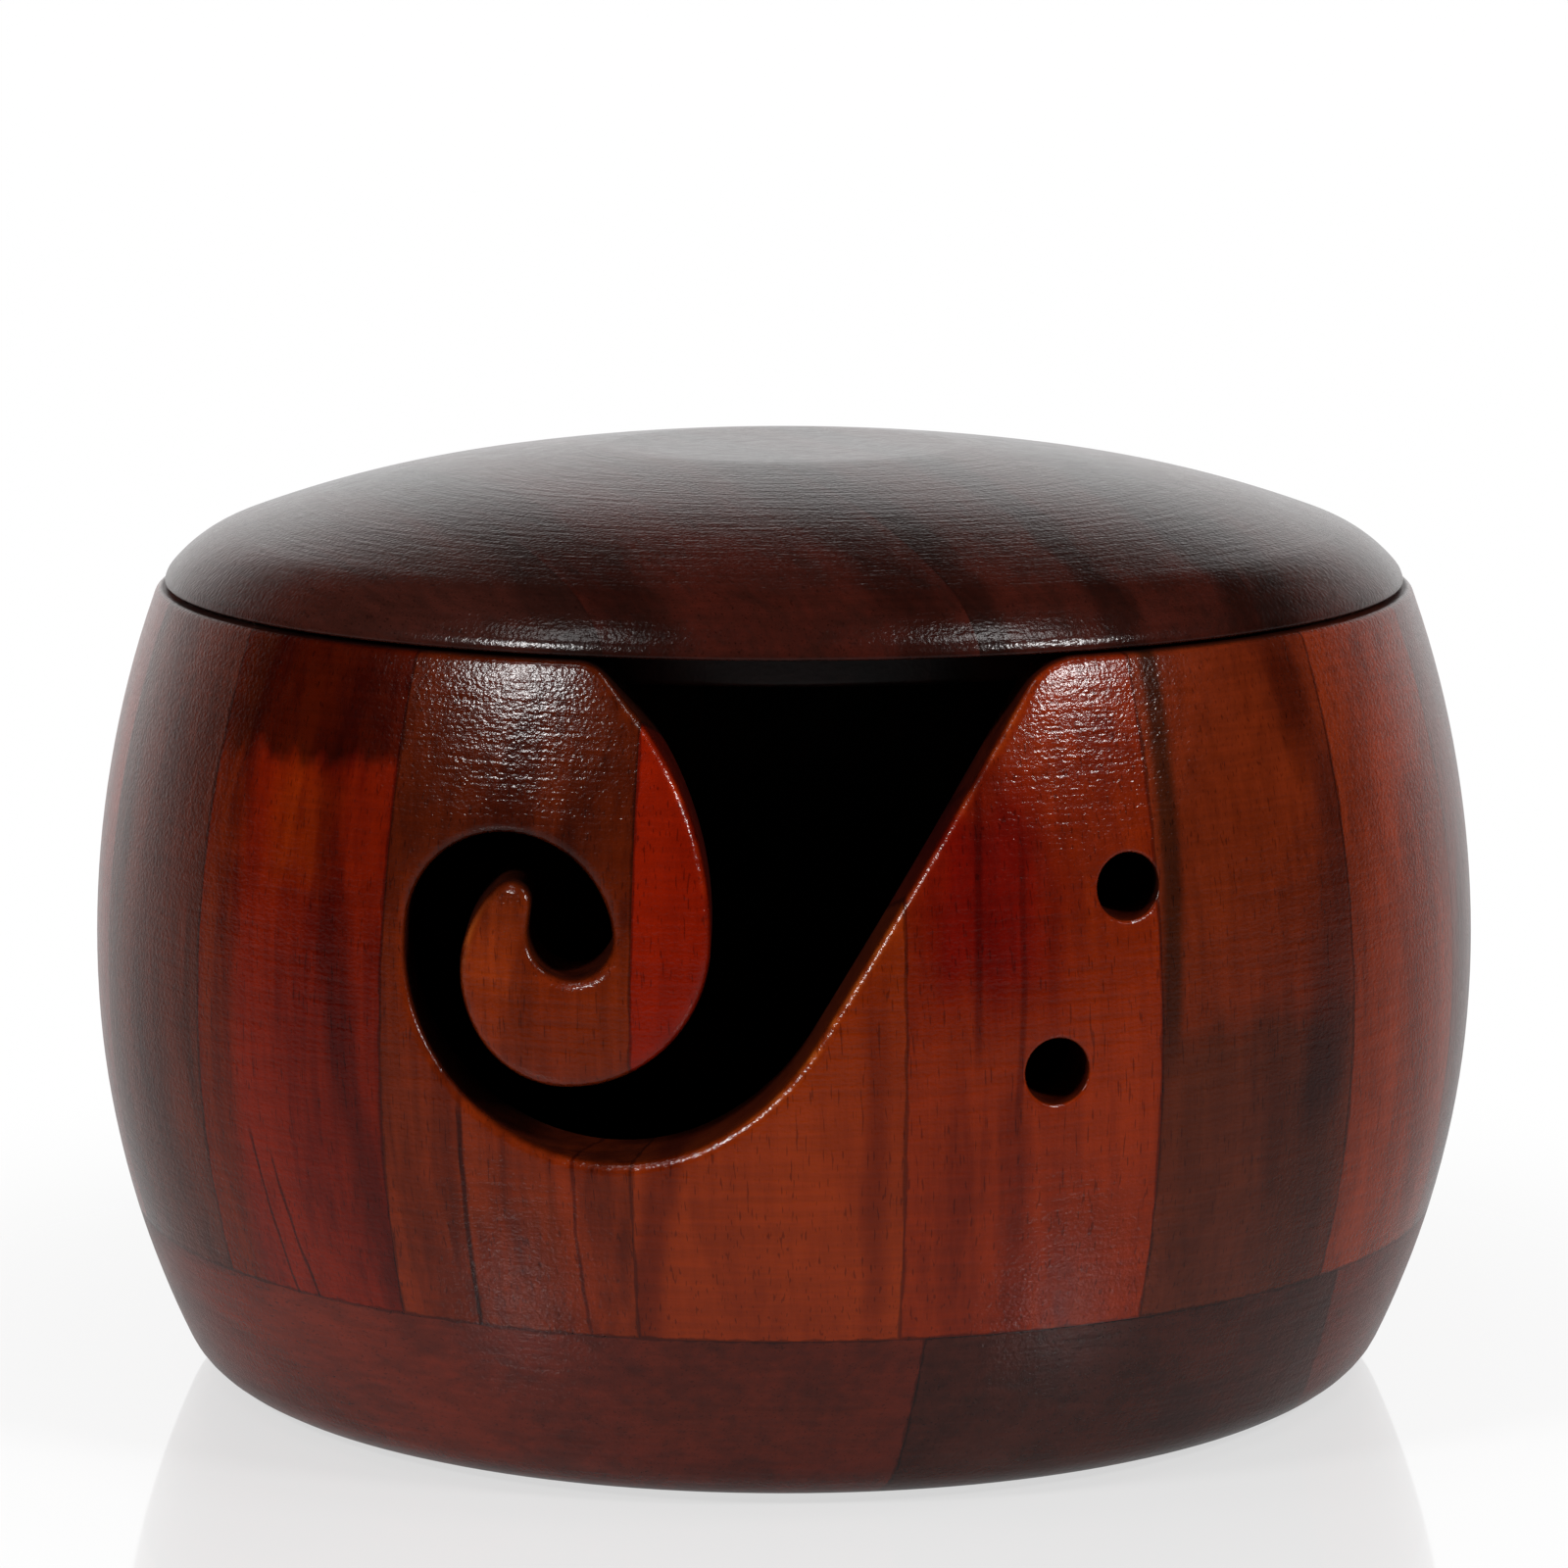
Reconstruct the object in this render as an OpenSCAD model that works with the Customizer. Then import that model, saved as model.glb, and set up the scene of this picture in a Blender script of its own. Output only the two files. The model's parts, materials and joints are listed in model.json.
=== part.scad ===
// Round wooden yarn bowl with a domed lid.
//
// The wall is coopered: eighteen upright staves are glued edge to edge and
// stand on a base of glued boards, and the whole is turned to a barrel shape.
// A notch runs down the front from the rim and curls round into a spiral that
// holds a strand, and two holes beside it lead out further strands. The lid
// is turned from glued boards, with a low spigot that drops inside the rim.
//
// The origin is the middle of the foot. +Z is up, and the notch faces -Y.

/* [Bowl] */
// Widest diameter, at the belly
bowl_d = 160; // [150:1:175]
// Height of the belly above the foot
belly_z = 48.4; // [46:0.2:51]
// Height of the rim
rim_z = 91; // [89:0.5:95]
// Radius of the long curve above the belly
upper_r = 121; // [110:1:150]
// Radius of the long curve below the belly
lower_r = 105; // [95:1:130]
// Rounding between the wall and the flat foot
foot_round = 8; // [6:0.5:10]
// Thickness of the wall above the belly
wall = 11; // [9:0.5:12.5]
// Radius of the hollow's round bottom corner
hollow_r = 34; // [32:0.5:34]

/* [Boards] */
// Thickness of the boards that the wall stands on
base_h = 20; // [18:0.5:22]
// Width of one base board
base_board_w = 54.5; // [51:0.5:58]
// Distance of the first base joint left of the middle
base_first = 21.9; // [18:0.1:26]
// Direction that the base boards run in, from +X
base_grain = 118; // [100:1:130]
// Width of one lid board
lid_board_w = 36; // [34:0.5:38]
// Distance of the first lid joint left of the middle
lid_first = 45.2; // [43:0.2:48]
// Direction that the lid boards run in, from +X
lid_grain = 114; // [100:1:130]

/* [Lid] */
// Gap that stays under the lid's edge when it is on
lid_gap = 0.4; // [0.3:0.05:1]
// Step from the rim's edge in to the lid's edge
lid_step = 0.9; // [0.5:0.1:2]
// Radius of the lid's flat middle
lid_flat_r = 20; // [16:0.5:24]
// Slope where the dome leaves the flat middle
dome_top_a = 4.2; // [3:0.2:6]
// Slope where the dome runs into its shoulder
dome_end_a = 9.1; // [8:0.1:11]
// Radius of the dome's shoulder
shoulder_r = 130; // [110:1:140]
// Slope where the shoulder runs into the brow
shoulder_end_a = 20.2; // [18:0.2:22]
// Radius of the brow
brow_r = 16.5; // [14:0.5:18]
// Slope where the brow runs into the lid's nose
brow_end_a = 49.7; // [45:0.5:55]
// Radius of the nose, down to the lid's edge
nose_r = 2.6; // [2:0.1:3.5]
// Depth of the spigot below the lid's underside
spigot_h = 4.5; // [3:0.25:6]
// Clearance between the spigot and the rim, all round
spigot_gap = 0.7; // [0.4:0.1:1.2]

/* [Notch] */
// Where the notch's right shoulder leaves the rim, right of the middle
notch_x = 30.7; // [29.5:0.1:31.5]
// Rounding of the right shoulder
right_round = 6.7; // [6:0.1:7.5]
// Lean of the straight slope, from upright
slope_lean = 31.6; // [31:0.1:32.2]
// Length of the straight slope
slope_l = 41.5; // [40.5:0.1:42.5]
// Rounding of the left shoulder
left_round = 4; // [3:0.1:5]
// Radius of the spiral's blind end
end_round = 4.45; // [4.2:0.05:4.6]
// Radius of the hook's tip
tip_round = 2.1; // [2:0.05:2.3]

/* [Yarn holes] */
// Diameter of both holes
hole_d = 7; // [6:0.1:8]
// Turn of the drill away from +Y, inwards to the left
hole_yaw = 8; // [5:0.5:11]
// Height of the upper hole
upper_hole_z = 67.4; // [64:0.2:70]
// Bearing of the upper hole, from the front to the right
upper_hole_a = 27.3; // [26:0.1:28]
// Height of the lower hole
lower_hole_z = 48.7; // [46:0.2:52]
// Bearing of the lower hole, from the front to the right
lower_hole_a = 20.9; // [20:0.1:23]

/* [Hidden] */
$fn = 180;

staves = 18;
front_staves = 5;
front_stave_a = -1.2;
front_stave_w = 20.7;
base_boards = 3;
lid_boards = 4;
red = "#7a3420";
brown = "#4a2620";
belly_r = bowl_d / 2;
past = 5;

// Bearing of a joint, from the front to the right, counted in staves from the middle of the
// front one. The five front staves are as wide as measured, and the others share the rest.
other_stave_w = (360 - front_staves * front_stave_w) / (staves - front_staves);
function joint_a(n) =
    let (front_n = min(abs(n), front_staves / 2))
    front_stave_a + sign(n) * (front_n * front_stave_w + (abs(n) - front_n) * other_stave_w);

// Centres of the long curves above and below the belly, on the belly's level
upper_x = belly_r - upper_r;
lower_x = belly_r - lower_r;

// Radius of the bowl's outside above the belly, at a height
function outside_r(z) = upper_x + sqrt(pow(upper_r, 2) - pow(z - belly_z, 2));
rim_hollow_r = upper_x + sqrt(pow(upper_r - wall, 2) - pow(rim_z - belly_z, 2));

// The foot's corner is an arc that touches both the ground and the lower curve
foot_r = lower_x + sqrt(pow(lower_r - foot_round, 2) - pow(belly_z - foot_round, 2));
foot_a = atan2(belly_z - foot_round, foot_r - lower_x);

lid_z = rim_z + lid_gap;
lid_r = outside_r(rim_z) - lid_step;
spigot_r = rim_hollow_r - spigot_gap;

// A path is a smooth chain of straights [length] and arcs [radius, direction at the arc's end].
// Each piece starts in the direction in which the last one ended.
function ahead(a) = [cos(a), sin(a)];
function last(list) = list[len(list) - 1];
function arc(p, a, r, end_a) =
    let (
        side = sign(end_a - a),
        centre = p + side * r * ahead(a + 90),
        turn = abs(end_a - a),
        n = ceil(max(turn / 10, turn * PI / 180 * r / 3))
    )
    [for (i = [1 : n]) centre - side * r * ahead(a + 90 + (end_a - a) * i / n)];
function path(p, a, pieces, i = 0) =
    i == len(pieces)
    ? []
    : let (
          s = pieces[i],
          pts = len(s) == 1 ? [p + s[0] * ahead(a)] : arc(p, a, s[0], s[1])
      )
      concat(pts, path(last(pts), len(s) == 1 ? a : s[1], pieces, i + 1));

// The notch, seen from the front. Its right side runs down from the rim and round the outside
// of the spiral, and its left side goes on from the blind end, round the hook and up the lobe.
// Its sizes are those on a bowl of 160 mm, and on another bowl it grows with the diameter.
notch_scale = bowl_d / 160;
function grown(points) = [for (p = points) [p[0], p[1] - rim_z] * notch_scale + [0, rim_z]];
right_side = [
    [right_round, 270 - slope_lean],  // right shoulder
    [slope_l],                        // straight slope
    [29.4, 211.4],                    // sweep out of the slope
    [22.4, 153.8],                    // bottom of the spiral
    [21.1, 80.9],                     // left side of the spiral
    [11, -83.1]                       // over the top and down inside
];
left_side = [
    [end_round, -277.6],              // blind end
    [2.4],                            // up beside the hook
    [tip_round, -138.4],              // tip of the hook
    [12.4, -59.9],                    // left side of the core
    [10.4, 2],                        // bottom of the core
    [15.9, 87.5],                     // right side of the core
    [34.7, 130.2]                     // lobe, up towards the rim
];
lobe_a = last(left_side)[1];

notch_start = [notch_x, rim_z];
right_pts = concat([notch_start], path(notch_start, 180, right_side));
left_pts = path(last(right_pts), last(right_side)[1], left_side);

// The last straight is as long as it must be for the left shoulder to end at the rim
lobe_l = (rim_z - left_round * (1 + cos(lobe_a)) - last(left_pts)[1]) / sin(lobe_a);
lobe_pts = concat(left_pts, path(last(left_pts), lobe_a, [[lobe_l], [left_round, 180]]));

// Outline along a side of the notch, closed above the rim
function over_rim(points) =
    let (side = grown(points))
    concat(side, [[last(side)[0], rim_z + past], [side[0][0], rim_z + past]]);

// Half section of the bowl's outside, running on past the rim
module outside() {
    foot_edge = [foot_r, 0];
    curves = path(foot_edge, 0, [
        [foot_round, 90 - foot_a],
        [lower_r, 90],
        [upper_r, 90 + asin((rim_z + past - belly_z) / upper_r)]
    ]);
    polygon(concat([[0, 0], foot_edge], curves, [[0, last(curves)[1]]]));
}

// Half section of the bowl's hollow, running on past the rim
module hollow() {
    floor_edge = [belly_r - wall - hollow_r, belly_z - hollow_r];
    inner_r = upper_r - wall;
    curves = path(floor_edge, 0, [
        [hollow_r, 90],
        [inner_r, 90 + asin((rim_z + past - belly_z) / inner_r)]
    ]);
    polygon(concat([[0, floor_edge[1]], floor_edge], curves, [[0, last(curves)[1]]]));
}

// One stave of the whole wall, so many places round from the front to the right
module stave(place) {
    from = joint_a(place - 0.5);
    rotate([0, 0, from - 90])
        rotate_extrude(angle = joint_a(place + 0.5) - from)
            difference() {
                intersection() {
                    outside();
                    translate([0, base_h]) square([belly_r, rim_z - base_h]);
                }
                hollow();
            }
}

// A shape seen from the front, run straight back through the front wall
module through_front() {
    rotate([90, 0, 0]) linear_extrude(belly_r + past) children();
}

module notch() {
    through_front() polygon(over_rim(concat(right_pts, lobe_pts)));
}

module yarn_hole(z, bearing) {
    r = outside_r(z);
    translate([r * sin(bearing), -r * cos(bearing), z])
        rotate([-90, 0, hole_yaw])
            translate([0, 0, -past]) cylinder(d = hole_d, h = 2 * (wall + past));
}

// What the notch leaves of the front stave below and to its right
module stave_front() {
    color(red) difference() {
        stave(0);
        through_front() polygon(over_rim(right_pts));
    }
}

// What the notch leaves of the front stave to its left, as a lobe
module stave_front_lobe() {
    color(red) intersection() {
        stave(0);
        through_front() polygon(over_rim(lobe_pts));
    }
}

// What the notch leaves of a stave beside the front one
module cut_stave(place) {
    difference() {
        stave(place);
        notch();
    }
}

// The stave with the lower yarn hole and most of the upper one
module stave_right_01() {
    color(red) difference() {
        cut_stave(1);
        yarn_hole(upper_hole_z, upper_hole_a);
        yarn_hole(lower_hole_z, lower_hole_a);
    }
}

// The stave that the upper yarn hole and the notch's shoulder run into on the inside
module stave_right_02() {
    color(brown) difference() {
        cut_stave(2);
        yarn_hole(upper_hole_z, upper_hole_a);
    }
}

// The stave that the spiral is cut in
module stave_left_01() {
    color(brown) cut_stave(-1);
}

// The stave whose inner corner the spiral just reaches, as it is cut straight back
module stave_left_02() {
    color(red) cut_stave(-2);
}

module plain_stave(place, stain) {
    color(stain) stave(place);
}

// Board i of a glued and turned blank, of which count boards lie side by side
module board(i, count, grain, w, first) {
    joint = (i - 1) * w - first;
    from = i == 1 ? -bowl_d : joint - w;
    to = i == count ? bowl_d : joint;
    intersection() {
        children();
        rotate([0, 0, grain - 180]) translate([-bowl_d, from, 0]) cube([2 * bowl_d, to - from, bowl_d]);
    }
}

module base_board(i) {
    color("#4f241b")
        board(i, base_boards, base_grain, base_board_w, base_first)
            rotate_extrude() difference() {
                intersection() {
                    outside();
                    square([belly_r, base_h]);
                }
                hollow();
            }
}

// Half section of the lid, from the edge up over the nose, brow, shoulder and dome to the flat
module lid_section() {
    edge = [lid_r, lid_z];
    outer = path(edge, 90, [
        [nose_r, 180 - brow_end_a],
        [brow_r, 180 - shoulder_end_a],
        [shoulder_r, 180 - dome_end_a]
    ]);
    dome_r = (last(outer)[0] - lid_flat_r) / (sin(dome_end_a) - sin(dome_top_a));
    dome = path(last(outer), 180 - dome_end_a, [[dome_r, 180 - dome_top_a]]);
    polygon(concat(
        [[0, lid_z - spigot_h], [spigot_r, lid_z - spigot_h], [spigot_r, lid_z], edge],
        outer, dome, [[0, last(dome)[1]]]
    ));
}

module lid_board(i) {
    color("#3f2019")
        board(i, lid_boards, lid_grain, lid_board_w, lid_first)
            rotate_extrude() lid_section();
}

stave_front();
stave_front_lobe();
stave_right_01();
stave_right_02();
plain_stave(3, red);  // stave_right_03
plain_stave(4, brown);  // stave_right_04
plain_stave(5, red);  // stave_right_05
plain_stave(6, brown);  // stave_right_06
plain_stave(7, red);  // stave_right_07
plain_stave(8, brown);  // stave_right_08
plain_stave(staves / 2, brown);  // stave_back
stave_left_01();
stave_left_02();
plain_stave(-3, brown);  // stave_left_03
plain_stave(-4, red);  // stave_left_04
plain_stave(-5, brown);  // stave_left_05
plain_stave(-6, red);  // stave_left_06
plain_stave(-7, brown);  // stave_left_07
plain_stave(-8, red);  // stave_left_08
base_board(1);  // base_board_01
base_board(2);  // base_board_02
base_board(3);  // base_board_03
lid_board(1);  // lid_board_01
lid_board(2);  // lid_board_02
lid_board(3);  // lid_board_03
lid_board(4);  // lid_board_04
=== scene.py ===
# %% [markdown]
# # A turned wooden yarn bowl with a lid
#
# The real bowl is coopered: eighteen upright staves are glued edge to edge and
# stand on a base of three glued boards. The whole is turned on a lathe, stained
# a deep red-brown and varnished. A notch is sawn down the front and curls into
# a spiral that holds a strand, and two holes beside it lead out further
# strands. The lid is turned from four glued boards.
#
# The measured model has every piece with crisp edges. A sanded and varnished
# bowl has none, and its edges catch the light first. So each piece is built
# again here, on the same lines, with its edges rounded, and stands for its
# node. Sizes are in millimetres as on the drawing, and meshes are in metres.

# %% Load the measured model
import json
import math

import bmesh
import bpy
import numpy as np
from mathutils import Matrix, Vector
from mathutils.geometry import delaunay_2d_cdt


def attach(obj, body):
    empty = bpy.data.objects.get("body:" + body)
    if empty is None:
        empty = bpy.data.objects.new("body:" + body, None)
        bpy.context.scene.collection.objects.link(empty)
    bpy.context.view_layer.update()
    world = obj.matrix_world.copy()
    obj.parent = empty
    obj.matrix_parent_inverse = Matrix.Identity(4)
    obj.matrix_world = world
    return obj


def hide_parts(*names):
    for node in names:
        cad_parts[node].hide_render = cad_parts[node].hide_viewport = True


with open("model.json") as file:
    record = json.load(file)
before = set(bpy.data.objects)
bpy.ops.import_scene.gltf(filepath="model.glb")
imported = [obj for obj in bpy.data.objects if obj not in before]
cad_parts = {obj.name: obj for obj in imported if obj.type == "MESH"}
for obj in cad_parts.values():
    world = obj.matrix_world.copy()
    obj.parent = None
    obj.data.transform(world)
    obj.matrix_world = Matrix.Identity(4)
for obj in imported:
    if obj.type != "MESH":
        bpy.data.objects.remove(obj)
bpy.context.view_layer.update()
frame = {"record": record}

MM = 0.001

# %% [markdown]
# ## The bowl's half section
#
# A turned bowl is one curve spun about an axis. Its outside is two long arcs
# that meet at the belly, and its hollow is a short arc that carries on into a
# long one. Both could be drawn with curve objects, but a formula for the radius
# at each height lets every later step ask where the wood is.

# %% Outside and hollow
BELLY_R, BELLY_Z = 80.0, 48.4
RIM_Z, BASE_H = 91.0, 20.0
UPPER_ARC, LOWER_ARC = 121.0, 105.0
WALL, HOLLOW_ARC = 11.0, 34.0


def outside_radius(z):
    """Radius of the outside at height z: R - arc + sqrt(arc^2 - (z - belly)^2)."""
    arc = np.where(z > BELLY_Z, UPPER_ARC, LOWER_ARC)
    return BELLY_R - arc + np.sqrt(arc**2 - (z - BELLY_Z) ** 2)


def hollow_radius(z):
    """Radius of the hollow at height z, by the same formula with its own arcs."""
    arc = np.where(z > BELLY_Z, UPPER_ARC - WALL, HOLLOW_ARC)
    return BELLY_R - WALL - arc + np.sqrt(arc**2 - (z - BELLY_Z) ** 2)


print("rim from", hollow_radius(RIM_Z).round(2), "to", outside_radius(RIM_Z).round(2))

# %% [markdown]
# ## Where the glued joints lie
#
# The joints between the staves are upright planes through the axis. The five
# staves at the front are a little wider than the rest. Points of the surface
# are set close to both sides of each joint, so that the wall keeps its true
# slope there when it is sawn into staves.

# %% Joints and columns
STAVES, FRONT_STAVES = 18, 5
FRONT_A, FRONT_W = -1.2, 20.7
OTHER_W = (360 - FRONT_STAVES * FRONT_W) / (STAVES - FRONT_STAVES)
JOINT_CLEAR, STAVE_COLUMNS = 0.2, 10


def joint_bearing(n):
    """Bearing of a joint n staves from the middle of the front one, in degrees to the right."""
    front = min(abs(n), FRONT_STAVES / 2)
    return FRONT_A + math.copysign(front * FRONT_W + (abs(n) - front) * OTHER_W, n)


PLACES = range(1 - STAVES // 2, STAVES // 2 + 1)
columns = [np.linspace(joint_bearing(p - 0.5) + JOINT_CLEAR, joint_bearing(p + 0.5) - JOINT_CLEAR,
                       STAVE_COLUMNS) for p in PLACES]
columns = np.concatenate(columns + [[180.0]])
columns = np.sort(np.append(np.where(columns > 180, columns - 360, columns), -180.0))
print("columns", len(columns), "first joints", joint_bearing(-0.5), joint_bearing(0.5))

# %% [markdown]
# ## The notch
#
# The notch is drawn as a maker would scribe it: walk ahead, turn through an arc
# of one radius, then through the next. Each leg starts in the direction in
# which the last one ended, so the whole line is smooth. A Bezier curve would do
# as well, but its handles say nothing about the radii of the cutters.

# %% Walk a chain of straights and arcs
def ahead(heading):
    """Unit vector (cos h, sin h) of a heading in degrees."""
    h = np.radians(heading)
    return np.stack([np.cos(h), np.sin(h)], -1)


def walk(here, heading, legs, spacing):
    """Points along legs [length] and [radius, heading at the end], about spacing apart.

    An arc's points are c - s r n, where n is the unit vector a quarter turn left of the
    heading, c = start + s r n its centre, and s is +1 for a left turn and -1 for a right one.
    """
    runs = []
    for leg in legs:
        if len(leg) == 1:
            n = math.ceil(leg[0] / spacing)
            run = here + np.arange(1, n + 1)[:, None] / n * leg[0] * ahead(heading)
        else:
            radius, end = leg
            side = math.copysign(1, end - heading)
            centre = here + side * radius * ahead(heading + 90)
            n = math.ceil(abs(math.radians(end - heading)) * radius / spacing)
            turned = heading + (end - heading) * np.arange(1, n + 1) / n
            run = centre - side * radius * ahead(turned + 90)
            heading = end
        runs.append(run)
        here = run[-1]
    return np.concatenate(runs)


# %% Walk the notch
NOTCH_START = np.array([30.7, RIM_Z])
NOTCH_LEGS = [
    [6.7, 238.4],   # right shoulder
    [41.5],         # straight slope
    [29.4, 211.4],  # sweep out of the slope
    [22.4, 153.8],  # bottom of the spiral
    [21.1, 80.9],   # left side of the spiral
    [11, -83.1],    # over the top and down inside
    [4.45, -277.6], # blind end
    [2.4],          # up beside the hook
    [2.1, -138.4],  # tip of the hook
    [12.4, -59.9],  # left side of the core
    [10.4, 2],      # bottom of the core
    [15.9, 87.5],   # right side of the core
    [34.7, 130.2],  # lobe
]
LEFT_SHOULDER, LOBE_A = 4.0, 130.2
SPACING = 0.6

notch = walk(NOTCH_START, 180, NOTCH_LEGS, SPACING)
rise = RIM_Z - notch[-1, 1] - LEFT_SHOULDER * (1 + math.cos(math.radians(LOBE_A)))
lobe_legs = [[rise / math.sin(math.radians(LOBE_A))], [LEFT_SHOULDER, 180]]
notch = np.concatenate([[NOTCH_START], notch, walk(notch[-1], LOBE_A, lobe_legs, SPACING)])
print("notch points", len(notch), "left end", notch[-1].round(2), "lowest", notch[:, 1].min().round(2))

# %% [markdown]
# ## Rounded edges
#
# The saw goes straight back through the front, while the rim is cut towards
# the axis. Both make one continuous edge, and sandpaper then rounds it. The
# Bevel modifier could round it, but it stumbles over short edges and tight
# curls. Instead the edge is swept: rings of points start a lip's width away on
# the outside, roll over in a quarter turn, cross the thickness, and roll over
# again into the hollow.
#
# The work is done on a flat map of the wall, with distance round the front
# across and height up, as if the bark were peeled off.

# %% The map of the wall
CHART = 75.0
LIP_STEPS, CUT_ROWS = 5, 4


def on_wall(uv, radius):
    """Points (r sin a, -r cos a, z) of the wall, with a = u / CHART, z = v and r = radius(z)."""
    a, z = uv[:, 0] / CHART, uv[:, 1]
    r = radius(z)
    return np.stack([r * np.sin(a), -r * np.cos(a), z], -1)


def left_of(uv, closed):
    """Unit normals a quarter turn left of a line on the map, from its central differences."""
    if closed:
        t = np.roll(uv, -1, axis=0) - np.roll(uv, 1, axis=0)
    else:
        t = np.gradient(uv, axis=0)
    n = np.stack([-t[:, 1], t[:, 0]], -1)
    return n / np.linalg.norm(n, axis=1, keepdims=True)


# %% Sweep a cut edge through the wall
def sweep_cut(bearing, z, turn, lip, inner_lip, rubbed, closed=False):
    """Rings of a cut that starts on the outside at bearings and heights, with the wood on its left.

    The cut runs along d = (-sin turn, cos turn, 0) until |start + t d| is the hollow's radius.
    A lip of width w is a quarter turn: w (1 - sin f) back along the surface and w (1 - cos f) in.
    Wear is sin(2 f) times how far each point is rubbed, and depth runs from 0 on the outside to 2.
    Returns the rings, their wear and depth, and the cut's border on each side of the map.
    """
    outer = np.stack([CHART * np.radians(bearing), z], -1)
    start = on_wall(outer, outside_radius)
    d = np.stack([-np.sin(np.radians(turn)), np.cos(np.radians(turn)), np.zeros_like(turn)], -1)
    along = (start * d).sum(1)
    reach = -along - np.sqrt(along**2 + hollow_radius(z) ** 2 - (start[:, :2] ** 2).sum(1))
    far = start + reach[:, None] * d
    inner = np.stack([CHART * np.unwrap(np.arctan2(far[:, 0], -far[:, 1])), z], -1)

    f = np.linspace(0, math.pi / 2, LIP_STEPS + 1)
    lip, inner_lip = lip[:, None], inner_lip[:, None]
    out_n, in_n = left_of(outer, closed), left_of(inner, closed)
    rings = [on_wall(outer + lip * (1 - math.sin(a)) * out_n, outside_radius) + lip * (1 - math.cos(a)) * d
             for a in f]
    for row in np.linspace(0, 1, CUT_ROWS + 1)[1:-1]:
        rings.append((start + lip * d) * (1 - row) + (far - inner_lip * d) * row)
    rings += [on_wall(inner + inner_lip * (1 - math.sin(a)) * in_n, hollow_radius)
              - inner_lip * (1 - math.cos(a)) * d for a in f[::-1]]
    middle = np.ones(CUT_ROWS - 1)
    wear = np.concatenate([np.sin(2 * f), 0 * middle, 0.5 * np.sin(2 * f)])[:, None] * rubbed
    depth = np.concatenate([f / f[-1], middle, 2 - f[::-1] / f[-1]])[:, None] + 0 * rubbed
    return np.array(rings), wear, depth, outer + lip * out_n, inner + inner_lip * in_n


# %% The rim and the notch as one edge
NOTCH_LIP, RIM_LIP, INNER_LIP = 1.3, 0.7, 0.8
TURN_RANGE, COLUMN_GAP = 25.0, 0.6
SHOULDER_H, RIM_RUBBED = 5, 0.2
# How far hands have rubbed the notch's edge, by the share of its length from the right shoulder
RUBBED = [(0, 0.1), (0.03, 0.9), (0.2, 1.0), (0.27, 0.7), (0.33, 0.3), (0.4, 0.1), (0.6, 0.2), (0.66, 0.5),
          (0.69, 1.0), (0.72, 0.15), (0.83, 0.15), (0.87, 0.6), (0.92, 1.0), (0.97, 0.7), (1, 0.1)]


def smooth(x):
    """Smooth step 3 x^2 - 2 x^3 of x held between 0 and 1."""
    x = np.clip(x, 0, 1)
    return x * x * (3 - 2 * x)


notch_a = np.degrees(np.arcsin(notch[:, 0] / outside_radius(notch[:, 1])))
right_rim = columns[columns > notch_a[0] + COLUMN_GAP][::-1]
left_rim = columns[columns < notch_a[-1] - COLUMN_GAP][::-1]
edge_a = np.concatenate([right_rim, notch_a, left_rim])
edge_z = np.concatenate([np.full(len(right_rim), RIM_Z), notch[:, 1], np.full(len(left_rim), RIM_Z)])
edge_turn = np.concatenate([
    right_rim * smooth((right_rim - notch_a[0]) / TURN_RANGE),
    np.zeros(len(notch)),
    left_rim * smooth((notch_a[-1] - left_rim) / TURN_RANGE),
])
edge_lip = RIM_LIP + (NOTCH_LIP - RIM_LIP) * smooth((RIM_Z - edge_z) / SHOULDER_H)
walked = np.append(0, np.cumsum(np.linalg.norm(np.diff(notch, axis=0), axis=1)))
rubbed = np.interp(walked / walked[-1], *zip(*RUBBED))
edge_rubbed = np.concatenate([np.full(len(right_rim), RIM_RUBBED), rubbed,
                              np.full(len(left_rim), RIM_RUBBED)])
edge = sweep_cut(edge_a, edge_z, edge_turn, edge_lip, np.full(len(edge_z), INNER_LIP), edge_rubbed)
print("edge points", len(edge_a), "rings", len(edge[0]))

# %% The two yarn holes
HOLE_R, HOLE_TURN, HOLE_LIP = 3.5, 8.0, 0.45
HOLE_POINTS, HOLE_RUBBED = 64, 0.6
HOLE_PLACES = [(27.3, 67.4), (20.9, 48.7)]


def drill(bearing, z):
    """A round hole whose axis starts on the outside and runs along d, turned from +Y.

    A point c + r (cos t e + sin t z) of the drill's end slides along d on to the outside.
    """
    r = float(outside_radius(z))
    a, turn = math.radians(bearing), math.radians(HOLE_TURN)
    t = -np.linspace(0, 2 * math.pi, HOLE_POINTS, endpoint=False)
    across, height = HOLE_R * np.cos(t), z + HOLE_R * np.sin(t)
    x = r * math.sin(a) + across * math.cos(turn)
    y = -r * math.cos(a) + across * math.sin(turn)
    along = -x * math.sin(turn) + y * math.cos(turn)
    slide = -along - np.sqrt(along**2 + outside_radius(height) ** 2 - x**2 - y**2)
    x, y = x - slide * math.sin(turn), y + slide * math.cos(turn)
    full = np.ones_like(t)
    return sweep_cut(np.degrees(np.arctan2(x, -y)), height, HOLE_TURN * full,
                     HOLE_LIP * full, HOLE_LIP * full, HOLE_RUBBED * full, closed=True)


holes = [drill(*place) for place in HOLE_PLACES]
print("holes", len(holes))

# %% [markdown]
# ## Filling in the skin
#
# Between the cut edges the skin is smooth, and any even net of triangles will
# do. Delaunay triangulation joins a grid of points to the borders without
# slivers. The borders are handed over as fixed edges, and triangles in the
# notch or in a hole are dropped afterwards by the even-odd rule.

# %% Fill a region of the map
NET_GAP, ROW_STEP, UPPER_ROW_Z = 0.9, 2.4, 51


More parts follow.
